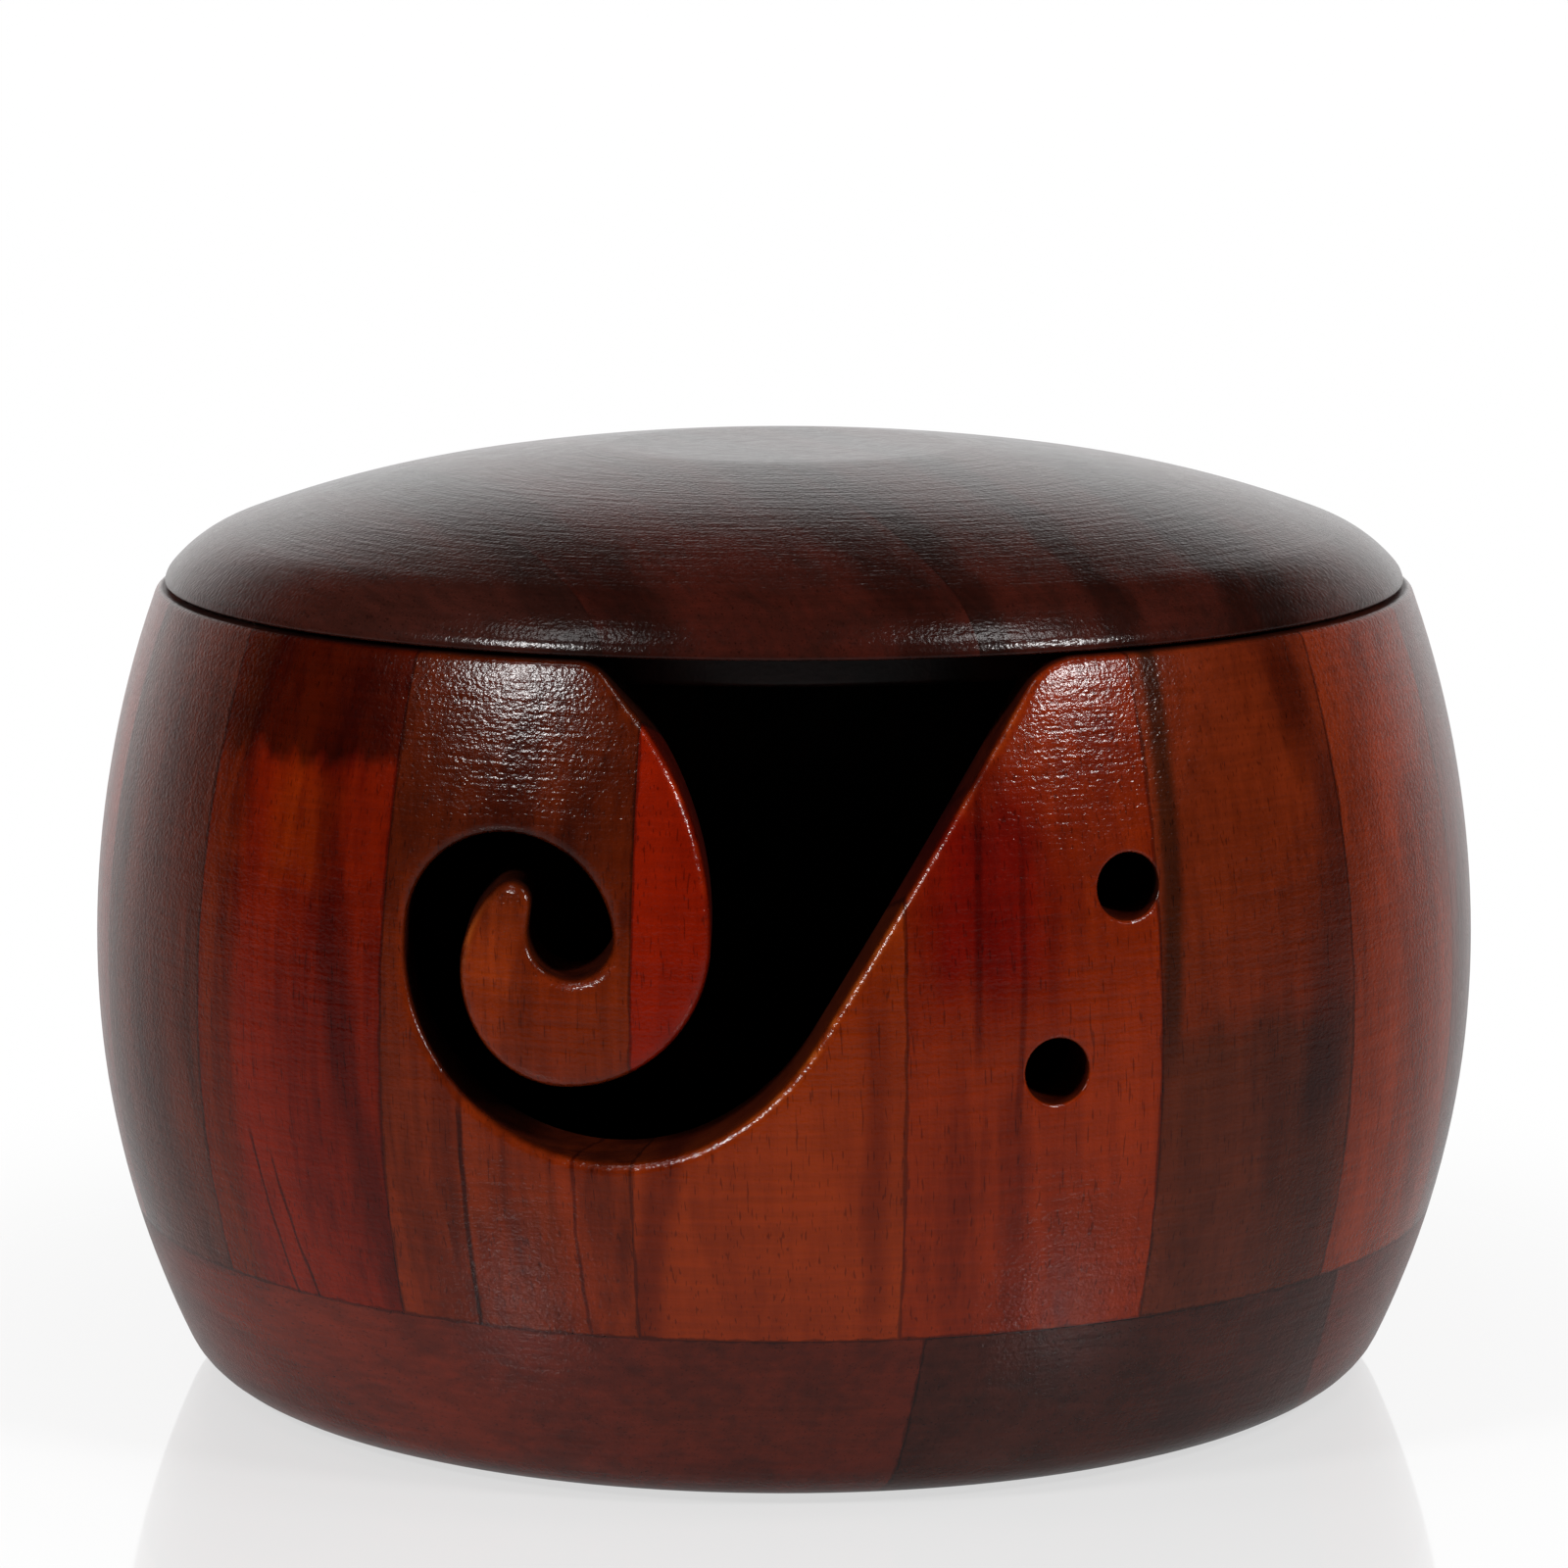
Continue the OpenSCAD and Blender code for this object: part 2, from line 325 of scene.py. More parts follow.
def inside(points, outline):
    """Even-odd rule: a point is inside if a ray towards +u crosses the outline an odd number of times."""
    a, b = outline, np.roll(outline, -1, axis=0)
    u, v = points[:, :1], points[:, 1:]
    crossed = (a[:, 1] > v) != (b[:, 1] > v)
    rise = np.where(a[:, 1] == b[:, 1], 1, b[:, 1] - a[:, 1])
    at = a[:, 0] + (v - a[:, 1]) * (b[:, 0] - a[:, 0]) / rise
    return (crossed & (u < at)).sum(1) % 2 == 1


def in_skin(points, outlines):
    """Whether each point is inside the first outline and outside all the others."""
    found = [inside(points, outline) for outline in outlines]
    return found[0] & ~np.any(found[1:], axis=0)


def fill(top, rows, hole_borders, radius):
    """Triangles of the skin below the top border, down to the wall's foot and round the holes."""
    side = rows[(rows > BASE_H) & (rows < top[0, 1] - 1)]
    seam = CHART * math.pi
    left = np.stack([np.full(len(side), -seam), side[::-1]], -1)
    right = np.stack([np.full(len(side), seam), side], -1)
    outlines = [np.concatenate([top, left, foot_line, right])] + hole_borders
    border = np.concatenate(outlines)
    u, v = np.meshgrid(CHART * np.radians(columns[1:-1]), rows[1:])
    net = np.stack([u.ravel(), v.ravel()], -1)
    net = net[in_skin(net, outlines)]
    gap = np.abs(net[:, None] - border[None]).max(2).min(1)
    points = np.concatenate([border, net[gap > NET_GAP]])
    edges, first = [], 0
    for outline in outlines:
        n = np.arange(len(outline))
        edges.append(np.stack([n, np.roll(n, -1)], -1) + first)
        first += len(outline)
    found = delaunay_2d_cdt([Vector(p) for p in points], np.concatenate(edges).tolist(), [], 0, 1e-6)
    index = np.array([ids[0] for ids in found[3]])
    faces = index[np.array(found[2])]
    return on_wall(points, radius), faces[in_skin(points[faces].mean(1), outlines)]


foot_line = np.stack([CHART * np.radians(columns), np.full(len(columns), BASE_H)], -1)
outer_rows = np.concatenate([[BASE_H, BASE_H + 0.2], np.arange(BASE_H + ROW_STEP, RIM_Z - 0.5, ROW_STEP)])
hollow_turn = np.linspace(math.asin((BELLY_Z - BASE_H) / HOLLOW_ARC), 0, 12)
inner_rows = np.concatenate([BELLY_Z - HOLLOW_ARC * np.sin(hollow_turn),
                             np.arange(UPPER_ROW_Z, RIM_Z - 0.5, ROW_STEP)])
outer_skin = fill(edge[3], outer_rows, [h[3] for h in holes], outside_radius)
inner_skin = fill(edge[4], inner_rows, [h[4] for h in holes], hollow_radius)
print("skin triangles", len(outer_skin[1]), "outside and", len(inner_skin[1]), "inside")

# %% [markdown]
# ## Welding the sheets into one wall
#
# Skins, cuts and the flat end that stands on the base are sheets that share
# their border points. Merging those points makes one closed wall. Two values
# ride along on every point for the finish to read: wear, which peaks along each
# rounded edge, and depth, which is 0 on the outside, 1 on a cut face and 2 in
# the hollow. The finish paints shade on the cut faces and in the hollow by depth.

# %% Sheets and welding
def net_faces(rows, count, closed=False):
    """Quads between the neighbours of a grid of points, listed row by row."""
    n = np.arange(rows * count).reshape(rows, count)
    if closed:
        n = np.concatenate([n, n[:, :1]], axis=1)
    return np.stack([n[:-1, :-1], n[:-1, 1:], n[1:, 1:], n[1:, :-1]], -1).reshape(-1, 4)


def swept_sheet(rings, wear, depth, closed=False):
    """Sheet (points, faces, wear, depth) of rings of points, with wear and depth by ring or by point."""
    rows, count = rings.shape[:2]
    grid = (rows, count)
    return (rings.reshape(-1, 3), net_faces(rows, count, closed),
            np.broadcast_to(wear, grid).ravel(), np.broadcast_to(depth, grid).ravel())


def weld(sheets):
    """Closed bmesh of sheets, with points less than a micron apart merged and faces turned outwards."""
    points = np.concatenate([s[0] for s in sheets])
    first = np.cumsum([0] + [len(s[0]) for s in sheets[:-1]])
    faces = [face for s, n in zip(sheets, first) for face in (s[1] + n).tolist()]
    mesh = bpy.data.meshes.new("sheets")
    mesh.from_pydata(points * MM, [], faces)
    for k, name in ((2, "wear"), (3, "depth")):
        values = np.concatenate([s[k] for s in sheets]).astype(np.float32)
        mesh.attributes.new(name, "FLOAT", "POINT").data.foreach_set("value", values)
    bm = bmesh.new()
    bm.from_mesh(mesh)
    bpy.data.meshes.remove(mesh)
    bmesh.ops.remove_doubles(bm, verts=bm.verts, dist=0.001 * MM)
    bmesh.ops.recalc_face_normals(bm, faces=bm.faces)
    return bm


def plain_sheet(skin, depth):
    """Sheet of a skin that has no wear and one depth."""
    n = len(skin[0])
    return skin[0], skin[1], np.zeros(n), np.full(n, float(depth))


foot_rings = np.array([on_wall(foot_line, outside_radius), on_wall(foot_line, hollow_radius)])
sheets = [plain_sheet(outer_skin, 0), plain_sheet(inner_skin, 2), swept_sheet(*edge[:3]),
          swept_sheet(foot_rings, 0.0, [[0.0], [2.0]])]
sheets += [swept_sheet(*hole[:3], closed=True) for hole in holes]
wall = weld(sheets)
print("wall faces", len(wall.faces), "open edges", sum(not e.is_manifold for e in wall.edges))

# %% [markdown]
# ## The base and the lid
#
# Both are plain turnings, so each is one half section spun round on the same
# columns as the wall. The lathe leaves every edge of the lid slightly rounded:
# its spigot, its seat and the small nose that overhangs the rim.

# %% Spin a half section
LID_Z, LID_R, SPIGOT_R, SPIGOT_H = 91.4, 71.35, 59.7, 4.5


def spin(*parts):
    """Closed bmesh of a half section spun about the axis, of parts (points (radius, z), depth)."""
    section = np.concatenate([points for points, _ in parts])
    depth = np.concatenate([np.full(len(points), depth) for points, depth in parts])
    a = np.radians(columns)[None]
    r, z = section[:, :1], section[:, 1:]
    rings = np.stack([r * np.sin(a), -r * np.cos(a), z + 0 * a], -1)
    return weld([swept_sheet(rings, 0.0, depth[:, None])])


def spaced(a, b, spacing):
    """Points from just after a to b, about spacing apart."""
    n = max(1, math.ceil(np.linalg.norm(np.subtract(b, a)) / spacing))
    return np.add(a, np.arange(1, n + 1)[:, None] / n * np.subtract(b, a))


# %% Half section of the base
FLOOR_R, FOOT_ARC = 35.0, 8.0
FLOOR_STEP, FOOT_STEP, SIDE_TOP = 5, 8, 17.8

floor_z = BELLY_Z - HOLLOW_ARC
centre_r = BELLY_R - LOWER_ARC
foot_r = centre_r + math.sqrt((LOWER_ARC - FOOT_ARC) ** 2 - (BELLY_Z - FOOT_ARC) ** 2)
foot_turn = math.degrees(math.atan2(BELLY_Z - FOOT_ARC, foot_r - centre_r))
floor_arc = -90 + np.degrees(np.linspace(0, math.asin(1) - math.asin((BELLY_Z - BASE_H) / HOLLOW_ARC), 8))
side_foot = BELLY_Z - LOWER_ARC * math.sin(math.radians(foot_turn))
side_z = np.concatenate([[BASE_H, BASE_H - 0.2], np.linspace(SIDE_TOP, side_foot, 8)])
foot_arc = np.linspace(-foot_turn, -90, 9)[1:]
floor_line = np.concatenate([
    [[0, floor_z]],
    spaced([0, floor_z], [FLOOR_R, floor_z], FLOOR_STEP),
    (np.array([FLOOR_R, BELLY_Z]) + HOLLOW_ARC * ahead(floor_arc))[1:],
])
outside_line = np.concatenate([
    np.stack([outside_radius(side_z), side_z], -1),
    np.array([foot_r, FOOT_ARC]) + FOOT_ARC * ahead(foot_arc),
    spaced([foot_r, 0], [0, 0], FOOT_STEP),
])
# Depth 2 on the floor inside brings the hollow's painted shade there
base = spin((floor_line, 2.0), (outside_line, 0.0))
print("base foot radius", round(foot_r, 2), "faces", len(base.faces))

# %% Half section of the lid
FLAT_R, DOME_TOP, DOME_END = 20.0, 4.2, 9.1
LID_LEGS = [[2.6, 130.3], [16.5, 159.8], [130, 180 - DOME_END]]
SEAT_LIP, SPIGOT_LIP, NOSE_GAP = 0.35, 0.7, 0.1

nose = walk(np.array([LID_R, LID_Z]), 90, LID_LEGS, 0.4)
nose = nose[nose[:, 1] > LID_Z + SEAT_LIP + NOSE_GAP]
dome_arc = (nose[-1, 0] - FLAT_R) / (math.sin(math.radians(DOME_END)) - math.sin(math.radians(DOME_TOP)))
dome = walk(nose[-1], 180 - DOME_END, [[dome_arc, 180 - DOME_TOP]], 2.4)
lid_bottom = LID_Z - SPIGOT_H
underside = np.concatenate([
    [[0, lid_bottom]],
    spaced([0, lid_bottom], [SPIGOT_R - SPIGOT_LIP, lid_bottom], 8),
    walk(np.array([SPIGOT_R - SPIGOT_LIP, lid_bottom]), 0, [[SPIGOT_LIP, 90]], 0.2),
    [[SPIGOT_R, LID_Z]],
    spaced([SPIGOT_R, LID_Z], [LID_R - SEAT_LIP, LID_Z], 3),
])
upper_side = np.concatenate([
    walk(np.array([LID_R - SEAT_LIP, LID_Z]), 0, [[SEAT_LIP, 90]], 0.12),
    nose, dome,
    spaced(dome[-1], [0, dome[-1, 1]], 4),
])
# Depth 1 on the underside brings the cut faces' painted shade under the lid
lid = spin((underside, 1.0), (upper_side, 0.0))
print("lid top", upper_side[:, 1].max().round(2), "faces", len(lid.faces))

# %% [markdown]
# ## Sawing the blanks into boards and staves
#
# In the workshop the boards are glued first and the blank is turned afterwards,
# so that a joint never steps. The same order works here: the wall, the base and
# the lid are finished forms, and each piece is what two flat cuts leave of them.
# A Boolean would do this too, but slower and with less control of the new face.

# %% Saw a piece out
FAR = 500.0


def sawn(blank, cuts):
    """Part of a closed bmesh on the positive side of every plane (point, normal), with capped cuts."""
    bm = blank.copy()
    for point, normal in cuts:
        cut = bmesh.ops.bisect_plane(bm, geom=bm.verts[:] + bm.edges[:] + bm.faces[:], dist=1e-7,
                                     plane_co=point, plane_no=normal, clear_inner=True)
        edges = [part for part in cut["geom_cut"] if isinstance(part, bmesh.types.BMEdge)]
        if edges:
            bmesh.ops.triangle_fill(bm, use_beauty=True, edges=edges, normal=[-n for n in normal])
    bmesh.ops.recalc_face_normals(bm, faces=bm.faces)
    return bm


def across(bearing, side=1):
    """Cutting plane (point, normal) through the axis at a bearing, that keeps what is to its right."""
    a = math.radians(bearing)
    return (0, 0, 0), (side * math.cos(a), side * math.sin(a), 0)


def board_joints(count, width, first, i):
    """The two joints that bound board i across its grain, or far away where it has none."""
    return first + (i - 1) * width if i else -FAR, first + i * width if i < count - 1 else FAR


def board_cuts(along, low, high):
    """The one or two upright planes that bound a board between two joints across its grain."""
    a = math.radians(along - 90)
    n = (math.cos(a), math.sin(a), 0)
    cuts = []
    for joint, side in ((low * MM, 1), (high * MM, -1)):
        if abs(joint) < FAR * MM:
            cuts.append(((n[0] * joint, n[1] * joint, 0), (side * n[0], side * n[1], 0)))
    return cuts


# %% Turn the blanks into pieces
SHARP = math.radians(35)
slots = {part["node"]: part["material_slot"] for part in frame["record"]["subparts"]}


def islands(bm):
    """The separate parts of a bmesh as lists of faces."""
    left, parts = set(bm.faces), []
    while left:
        part, todo = [], [left.pop()]
        while todo:
            face = todo.pop()
            part.append(face)
            near = {f for edge in face.edges for f in edge.link_faces} & left
            left -= near
            todo += near
        parts.append(part)
    return parts


def make_piece(bm, node, body):
    """Object with the bmesh's mesh, smooth but for its sharp edges, that stands for a node."""
    mesh = bpy.data.meshes.new(node + "_turned")
    bm.to_mesh(mesh)
    mesh.shade_smooth()
    mesh.set_sharp_from_angle(angle=SHARP)
    piece = bpy.data.objects.new(node + "_turned", mesh)
    bpy.context.scene.collection.objects.link(piece)
    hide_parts(node)
    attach(piece, body)
    return piece


def stave_name(place):
    """Node name of the stave that many places to the right of the front."""
    if place == 0:
        return "stave_front"
    if place == STAVES // 2:
        return "stave_back"
    return f"stave_{'right' if place > 0 else 'left'}_{abs(place):02d}"


# %% Staves
pieces = {}
for place in PLACES:
    stave = sawn(wall, [across(joint_bearing(place - 0.5)), across(joint_bearing(place + 0.5), -1)])
    if place == 0:
        small = min(islands(stave), key=len)
        lobe = stave.copy()
        lobe.faces.ensure_lookup_table()
        kept = {face.index for face in small}
        bmesh.ops.delete(lobe, geom=[f for f in lobe.faces if f.index not in kept], context="FACES")
        bmesh.ops.delete(stave, geom=small, context="FACES")
        pieces["stave_front_lobe"] = make_piece(lobe, "stave_front_lobe", "bowl")
    pieces[stave_name(place)] = make_piece(stave, stave_name(place), "bowl")
print("wall pieces", len(pieces))

# %% Base and lid boards
BASE_BOARDS, BASE_BOARD_W, BASE_FIRST, BASE_GRAIN = 3, 54.5, -21.9, 118.0
LID_BOARDS, LID_BOARD_W, LID_FIRST, LID_GRAIN = 4, 36.0, -45.2, 114.0

base_joints = [board_joints(BASE_BOARDS, BASE_BOARD_W, BASE_FIRST, i) for i in range(BASE_BOARDS)]
lid_joints = [board_joints(LID_BOARDS, LID_BOARD_W, LID_FIRST, i) for i in range(LID_BOARDS)]
for kind, blank, body, along, joints in (("base", base, "bowl", BASE_GRAIN, base_joints),
                                         ("lid", lid, "lid", LID_GRAIN, lid_joints)):
    for i, (low, high) in enumerate(joints):
        name = f"{kind}_board_{i + 1:02d}"
        pieces[name] = make_piece(sawn(blank, board_cuts(along, low, high)), name, body)
print("pieces", len(pieces), "faces", sum(len(piece.data.polygons) for piece in pieces.values()))

# %% [markdown]
# ## Finish: stained and varnished softwood
#
# Stain soaks in unevenly. It darkens the late wood of each year ring and the
# open end grain most, and it leaves the rest a warm orange-red. Each stave is
# from another board, so each has its own tone. The patterns are worked out from
# the place in the wood rather than from a picture, so they run through the
# edges and across a cut as the grain of a real board does.
#
# Small groups of shader nodes do one job each, such as grain, a smear of stain
# or a glue line. Every piece's material plugs them together with its own sizes.

# %% Helpers that wire nodes
def add(tree, kind, inputs=None, **settings):
    """Node of a kind, with its settings made and its inputs set or linked."""
    node = tree.nodes.new(kind)
    for key, value in settings.items():
        setattr(node, key, value)
    for key, value in (inputs or {}).items():
        if isinstance(value, bpy.types.NodeSocket):
            tree.links.new(value, node.inputs[key])
        else:
            node.inputs[key].default_value = value
    return node


def sums(tree, operation, *values):
    """Output of a Math node on values or sockets."""
    return add(tree, "ShaderNodeMath", dict(enumerate(values)), operation=operation).outputs[0]


def plus(tree, a, b):
    """Output of a + b."""
    return sums(tree, "ADD", a, b)


def minus(tree, a, b):
    """Output of a - b."""
    return sums(tree, "SUBTRACT", a, b)


def times(tree, a, b):
    """Output of a times b."""
    return sums(tree, "MULTIPLY", a, b)


def vectors(tree, operation, a, b):
    """Output of a Vector Math node on two vectors."""
    return add(tree, "ShaderNodeVectorMath", {0: a, 1: b}, operation=operation).outputs[0]


def ramp(tree, value, start, end, low=0.0, high=1.0):
    """Smooth step of a value from low at start to high at end."""
    return add(tree, "ShaderNodeMapRange", {"Value": value, "From Min": start, "From Max": end,
                                            "To Min": low, "To Max": high},
               interpolation_type="SMOOTHSTEP").outputs["Result"]


def blend(tree, kind, share, a, b):
    """Colour a blended with colour b by a share, as a kind such as MIX or MULTIPLY says."""
    return add(tree, "ShaderNodeMix", {"Factor": share, "A": a, "B": b}, data_type="RGBA",
               blend_type=kind).outputs["Result"]


def stretched(tree, place, size, seed, detail=2.0):
    """Noise around 0.5 whose blobs have the given size along x, y and z, in mm."""
    scaled = vectors(tree, "DIVIDE", place, size)
    return add(tree, "ShaderNodeTexNoise", {"Vector": scaled, "W": seed, "Scale": 1.0, "Detail": detail},
               noise_dimensions="4D").outputs[0]


def new_group(name, inputs, outputs):
    """Empty shader group with named inputs {name: (kind, value)} and outputs {name: kind}."""
    tree = bpy.data.node_groups.new(name, "ShaderNodeTree")
    for key, (kind, value) in inputs.items():
        socket = tree.interface.new_socket(key, in_out="INPUT", socket_type="NodeSocket" + kind)
        if value is not None:
            socket.default_value = value
    for key, kind in outputs.items():
        tree.interface.new_socket(key, in_out="OUTPUT", socket_type="NodeSocket" + kind)
    return tree, tree.nodes.new("NodeGroupInput").outputs, tree.nodes.new("NodeGroupOutput").inputs


def give(tree, result, values):
    """Links values to the named outputs of a group."""
    for key, value in values.items():
        tree.links.new(value, result[key])


def use(tree, group, inputs):
    """Outputs of a group that is put to use in another tree."""
    return add(tree, "ShaderNodeGroup", inputs, node_tree=group).outputs


def stain(red, green, blue):
    """Colour (r, g, b, 1) for the shader from levels of 0 to 255 as a screen shows them."""
    levels = np.array([red, green, blue]) / 255
    linear = np.where(levels > 0.04045, ((levels + 0.055) / 1.055) ** 2.4, levels / 12.92)
    return (*linear.tolist(), 1.0)


# %% [markdown]
# ### Where a point is in its board
#
# A stave is measured from its own middle: how far round, how high and how deep.
# A board of the base or lid lies flat, so its grain runs sideways. Both groups
# give the place with z along the grain, and the grain group needs no more.

# %% Place in a stave
def turned_place(tree, degrees):
    """Place in mm after a turn about the bowl's axis."""
    spot = add(tree, "ShaderNodeTexCoord").outputs["Object"]
    turned = add(tree, "ShaderNodeVectorRotate", {"Vector": spot, "Angle": sums(tree, "RADIANS", degrees)},
                 rotation_type="Z_AXIS").outputs[0]
    return add(tree, "ShaderNodeVectorMath", {0: turned, "Scale": 1 / MM}, operation="SCALE").outputs[0]


place_in_stave, given, result = new_group(
    "place in a stave", {"Middle": ("Float", 0.0)},
    {"Place": "Vector", "Offset": "Float", "Height": "Float"})
tree = place_in_stave
mm = turned_place(tree, times(tree, given["Middle"], -1.0))
part = add(tree, "ShaderNodeSeparateXYZ", {0: mm}).outputs
round_by = sums(tree, "ARCTAN2", part["X"], times(tree, part["Y"], -1.0))
give(tree, result, {"Place": mm, "Offset": sums(tree, "DEGREES", round_by), "Height": part["Z"]})

# %% Place in a flat board
place_in_board, given, result = new_group(
    "place in a flat board", {"Grain": ("Float", 0.0)},
    {"Place": "Vector", "Across": "Float", "Radius": "Float", "Height": "Float", "End grain": "Float"})
tree = place_in_board
mm = turned_place(tree, minus(tree, 90.0, given["Grain"]))
part = add(tree, "ShaderNodeSeparateXYZ", {0: mm}).outputs
squares = plus(tree, sums(tree, "POWER", part["X"], 2.0), sums(tree, "POWER", part["Y"], 2.0))
radius = sums(tree, "SQRT", squares)
along = add(tree, "ShaderNodeCombineXYZ", {0: part["X"], 1: part["Z"], 2: part["Y"]}).outputs[0]
ends = sums(tree, "ABSOLUTE", sums(tree, "DIVIDE", part["Y"], sums(tree, "MAXIMUM", radius, 1.0)))
give(tree, result, {"Place": along, "Across": part["X"], "Radius": radius, "Height": part["Z"],
                    "End grain": ends})
print("groups", [group.name for group in bpy.data.node_groups])

# %% [markdown]
# ### Grain
#
# A trunk is a stack of rings about a heart. A board is cut from beside the
# heart, so the turned surface meets the rings at changing slants, and long
# flames and waves come out. Fibres are fine streaks along the grain. Pores are
# short dark dashes where the stain has settled.

# %% Grain
grain, given, result = new_group(
    "grain of a softwood board",
    {"Place": ("Vector", None), "Seed": ("Float", 0.0), "Ring width": ("Float", 4.0),
     "Heart": ("Vector", (20.0, -30.0, 0.0)), "Wander": ("Float", 9.0), "Lean": ("Float", 0.0)},
    {"Rings": "Float", "Streaks": "Float", "Fibres": "Float", "Pores": "Float"})
tree = grain
part = add(tree, "ShaderNodeSeparateXYZ", {0: given["Place"]}).outputs
leant = add(tree, "ShaderNodeCombineXYZ", {
    0: plus(tree, part["X"], times(tree, part["Z"], given["Lean"])),
    1: part["Y"], 2: part["Z"]}).outputs[0]
drift = stretched(tree, leant, (26.0, 26.0, 75.0), given["Seed"], 1.0)
from_heart = vectors(tree, "SUBTRACT", leant, given["Heart"])
flat = vectors(tree, "MULTIPLY", from_heart, (1.0, 1.0, 0.0))
reach = add(tree, "ShaderNodeVectorMath", {0: flat}, operation="LENGTH").outputs["Value"]
years = sums(tree, "DIVIDE", plus(tree, reach, times(tree, drift, given["Wander"])),
             given["Ring width"])
year = sums(tree, "FRACT", years)
late = times(tree, ramp(tree, year, 0.15, 0.9), ramp(tree, year, 1.0, 0.9))
wide = stretched(tree, leant, (7.0, 7.0, 45.0), given["Seed"], 4.0)
fine = stretched(tree, leant, (1.1, 1.1, 22.0), given["Seed"], 4.0)
both = plus(tree, times(tree, wide, 0.6), times(tree, fine, 0.4))
fibre = stretched(tree, leant, (0.25, 0.25, 4.0), given["Seed"], 3.0)
pore = stretched(tree, leant, (0.22, 0.22, 2.2), given["Seed"], 0.0)
give(tree, result, {"Rings": late, "Streaks": ramp(tree, both, 0.36, 0.64), "Fibres": fibre,
                    "Pores": ramp(tree, pore, 0.66, 0.76)})

# %% Stain taken up by the grain
stained, given, result = new_group(
    "stain taken up by the grain",
    {"Light": ("Color", (0.2, 0.03, 0.005, 1)), "Dark": ("Color", (0.05, 0.01, 0.003, 1)),
     "Rings": ("Float", 0.0), "Streaks": ("Float", 0.0), "Fibres": ("Float", 0.5), "Pores": ("Float", 0.0),
     "Ring share": ("Float", 0.45), "Streak share": ("Float", 0.5)},
    {"Color": "Color"})
tree = stained
share = plus(tree, times(tree, given["Rings"], given["Ring share"]),
             times(tree, given["Streaks"], given["Streak share"]))
share = plus(tree, share, times(tree, minus(tree, given["Fibres"], 0.5), 0.35))
share = add(tree, "ShaderNodeClamp", {0: share}).outputs[0]
tone = blend(tree, "MIX", share, given["Light"], given["Dark"])
settled = times(tree, given["Pores"], 0.55)
give(tree, result, {"Color": blend(tree, "MULTIPLY", settled, tone, (0.25, 0.2, 0.2, 1))})

# %% [markdown]
# ### Smears, glue lines, worn edges and painted shade
#
# Some staves have a streak or a cloudy patch of their own, where resin or a
# knot took the stain in another way. On the first two staves at the left, a
# smear across the whole stave is painted shade, which darkens its top. A smear
# darkens or lightens the colour within a leaning band. Glue keeps stain out of
# the wood beside a joint and leaves a thin dark line on it. Cut faces, the lid's
# underside and the hollow are darkened with painted shade.

# %% Smear of stain and of painted shade
smear, given, result = new_group(
    "smear of stain and painted shade",
    {"Color": ("Color", (1, 1, 1, 1)), "Place": ("Vector", None), "Offset": ("Float", 0.0),
     "Height": ("Float", 0.0), "At": ("Float", 0.0), "Lean": ("Float", 0.0), "Half width": ("Float", 2.0),
     "Bottom": ("Float", 0.0), "Top": ("Float", 100.0), "Ragged": ("Float", 1.0), "Fade": ("Float", 6.0),
     "Tint": ("Color", (0.5, 0.5, 0.5, 1))},
    {"Color": "Color"})
tree = smear
wave = minus(tree, stretched(tree, given["Place"], (3.0, 3.0, 14.0), given["At"], 3.0), 0.5)
line = plus(tree, given["At"], times(tree, given["Lean"],
                                           minus(tree, given["Height"], 50.0)))
aside = sums(tree, "ABSOLUTE", plus(tree, minus(tree, given["Offset"], line),
                                    times(tree, wave, given["Ragged"])))
shape = ramp(tree, sums(tree, "DIVIDE", aside, given["Half width"]), 1.5, 0.35)
rough_height = plus(tree, given["Height"], times(tree, wave, 8.0))
above, below = [ramp(tree, sums(tree, "DIVIDE", inside_by, given["Fade"]), -0.5, 0.5) for inside_by in (
    minus(tree, rough_height, given["Bottom"]), minus(tree, given["Top"], rough_height))]
shape = times(tree, shape, times(tree, above, below))
give(tree, result, {"Color": blend(tree, "MULTIPLY", shape, given["Color"], given["Tint"])})

# %% Glue line
glue, given, result = new_group(
    "glue line", {"Color": ("Color", (1, 1, 1, 1)), "Place": ("Vector", None), "Away": ("Float", 10.0),
                  "Strength": ("Float", 0.8)},
    {"Color": "Color"})
tree = glue
width = ramp(tree, stretched(tree, given["Place"], (2.0, 2.0, 5.0), 3.0), 0.3, 0.75, 0.08, 0.42)
line = ramp(tree, sums(tree, "DIVIDE", given["Away"], width), 1.3, 0.4)
line = times(tree, line, given["Strength"])
give(tree, result, {"Color": blend(tree, "MULTIPLY", line, given["Color"], (0.12, 0.08, 0.08, 1))})

# %% Worn edge, and painted shade on cut faces and in the hollow
wear_and_painted_shade, given, result = new_group(
    "worn edge and painted shade in cuts and hollow",
    {"Color": ("Color", (1, 1, 1, 1)), "Place": ("Vector", None),
     "Cut face painted shade": ("Color", (0.28, 0.34, 0.42, 1)), "Hollow painted shade": ("Color", (0.6, 0.6, 0.6, 1)),
     "Wear tint": ("Color", (2.2, 4.0, 5.0, 1))},
    {"Color": "Color", "Dullness": "Float"})
tree = wear_and_painted_shade
wear = add(tree, "ShaderNodeAttribute", attribute_name="wear").outputs["Fac"]
depth = add(tree, "ShaderNodeAttribute", attribute_name="depth").outputs["Fac"]
